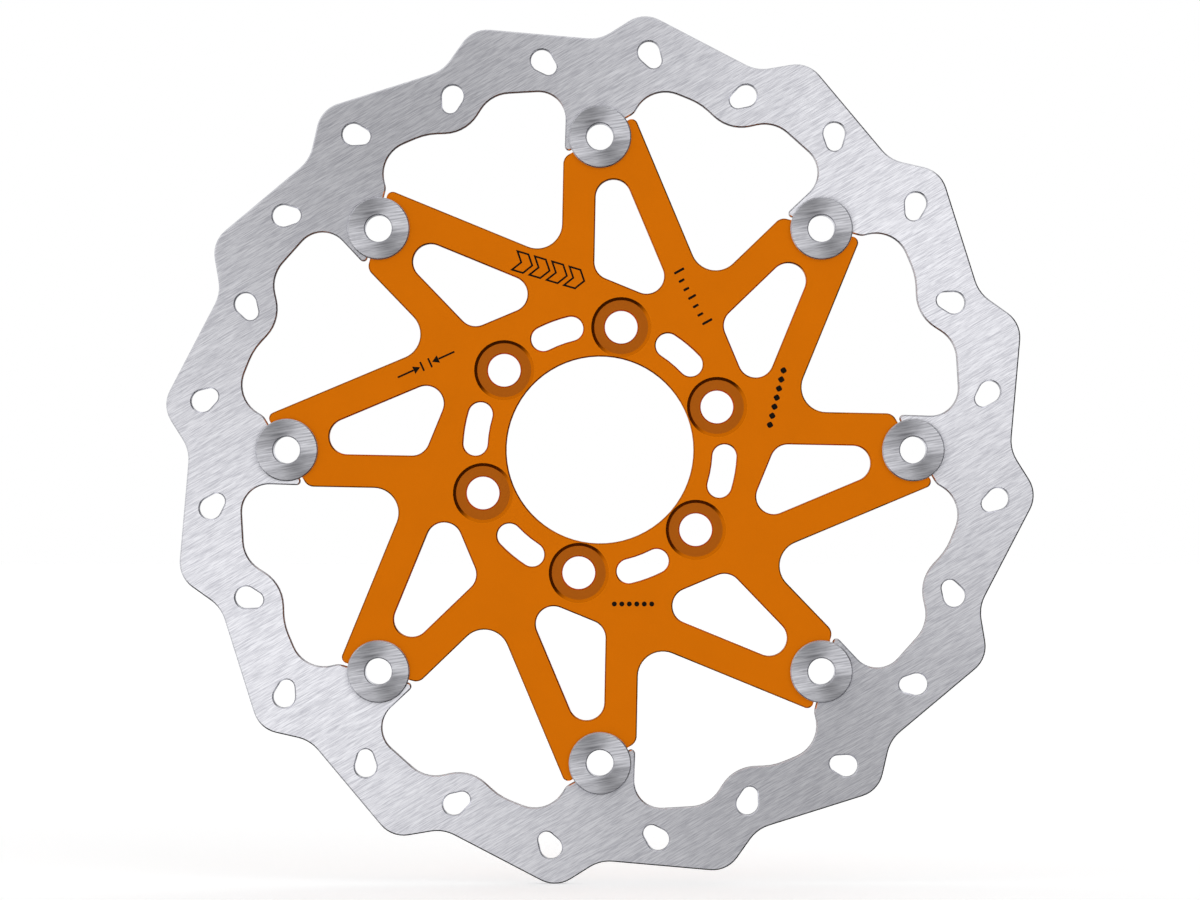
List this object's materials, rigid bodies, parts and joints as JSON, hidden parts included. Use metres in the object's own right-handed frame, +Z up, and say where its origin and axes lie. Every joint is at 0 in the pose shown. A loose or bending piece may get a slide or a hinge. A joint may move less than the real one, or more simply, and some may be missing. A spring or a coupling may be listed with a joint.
{
  "type": "motorcycle brake disc",
  "caption": "Floating motorcycle brake disc: a waved and drilled steel ring hung on a slotted spider by flanged bobbins that spin and let the ring float sideways.",
  "frame": {"origin": "centre of the bore, in the plane of the carrier's flat back face that meets the wheel hub", "axes": "+Y along the wheel axle towards the hub, so the outer side faces -Y; +Z up through the first bobbin; +X to the right seen from the outer side"},
  "size_m": [0.2784, 0.01, 0.2784],
  "materials": {
    "ring_steel": "ground and linished stainless steel",
    "anodised_aluminium": "satin orange anodised",
    "bobbin_steel": "turned stainless steel",
    "zinc_steel": "zinc plated",
    "spring_steel": "tempered spring steel",
    "phosphated_steel": "black phosphated"
  },
  "bodies": {
    "carrier": {"carrier": "anodised_aluminium"},
    "ring": {"brake_ring": "ring_steel"},
    "bobbin_stack_1": {"bobbin_1": "bobbin_steel", "thrust_washer_1": "zinc_steel", "wave_spring_1": "spring_steel", "circlip_1": "phosphated_steel"},
    "bobbin_stack_2": {"bobbin_2": "bobbin_steel", "thrust_washer_2": "zinc_steel", "wave_spring_2": "spring_steel", "circlip_2": "phosphated_steel"},
    "bobbin_stack_3": {"bobbin_3": "bobbin_steel", "thrust_washer_3": "zinc_steel", "wave_spring_3": "spring_steel", "circlip_3": "phosphated_steel"},
    "bobbin_stack_4": {"bobbin_4": "bobbin_steel", "thrust_washer_4": "zinc_steel", "wave_spring_4": "spring_steel", "circlip_4": "phosphated_steel"},
    "bobbin_stack_5": {"bobbin_5": "bobbin_steel", "thrust_washer_5": "zinc_steel", "wave_spring_5": "spring_steel", "circlip_5": "phosphated_steel"},
    "bobbin_stack_6": {"bobbin_6": "bobbin_steel", "thrust_washer_6": "zinc_steel", "wave_spring_6": "spring_steel", "circlip_6": "phosphated_steel"},
    "bobbin_stack_7": {"bobbin_7": "bobbin_steel", "thrust_washer_7": "zinc_steel", "wave_spring_7": "spring_steel", "circlip_7": "phosphated_steel"},
    "bobbin_stack_8": {"bobbin_8": "bobbin_steel", "thrust_washer_8": "zinc_steel", "wave_spring_8": "spring_steel", "circlip_8": "phosphated_steel"}
  },
  "joints": [
    {"name": "ring_float", "type": "slide", "parent": "carrier", "child": "ring", "axis": [0, 1, 0], "range_m": [-0.0002, 0.0002]},
    {"name": "bobbin_1_spin", "type": "hinge", "parent": "carrier", "child": "bobbin_stack_1", "pos_m": [0, 0, 0.1005], "axis": [0, 1, 0], "continuous": true},
    {"name": "bobbin_2_spin", "type": "hinge", "parent": "carrier", "child": "bobbin_stack_2", "pos_m": [0.07106, 0, 0.07106], "axis": [0, 1, 0], "continuous": true},
    {"name": "bobbin_3_spin", "type": "hinge", "parent": "carrier", "child": "bobbin_stack_3", "pos_m": [0.1005, 0, 0], "axis": [0, 1, 0], "continuous": true},
    {"name": "bobbin_4_spin", "type": "hinge", "parent": "carrier", "child": "bobbin_stack_4", "pos_m": [0.07106, 0, -0.07106], "axis": [0, 1, 0], "continuous": true},
    {"name": "bobbin_5_spin", "type": "hinge", "parent": "carrier", "child": "bobbin_stack_5", "pos_m": [0, 0, -0.1005], "axis": [0, 1, 0], "continuous": true},
    {"name": "bobbin_6_spin", "type": "hinge", "parent": "carrier", "child": "bobbin_stack_6", "pos_m": [-0.07106, 0, -0.07106], "axis": [0, 1, 0], "continuous": true},
    {"name": "bobbin_7_spin", "type": "hinge", "parent": "carrier", "child": "bobbin_stack_7", "pos_m": [-0.1005, 0, 0], "axis": [0, 1, 0], "continuous": true},
    {"name": "bobbin_8_spin", "type": "hinge", "parent": "carrier", "child": "bobbin_stack_8", "pos_m": [-0.07106, 0, 0.07106], "axis": [0, 1, 0], "continuous": true}
  ]
}
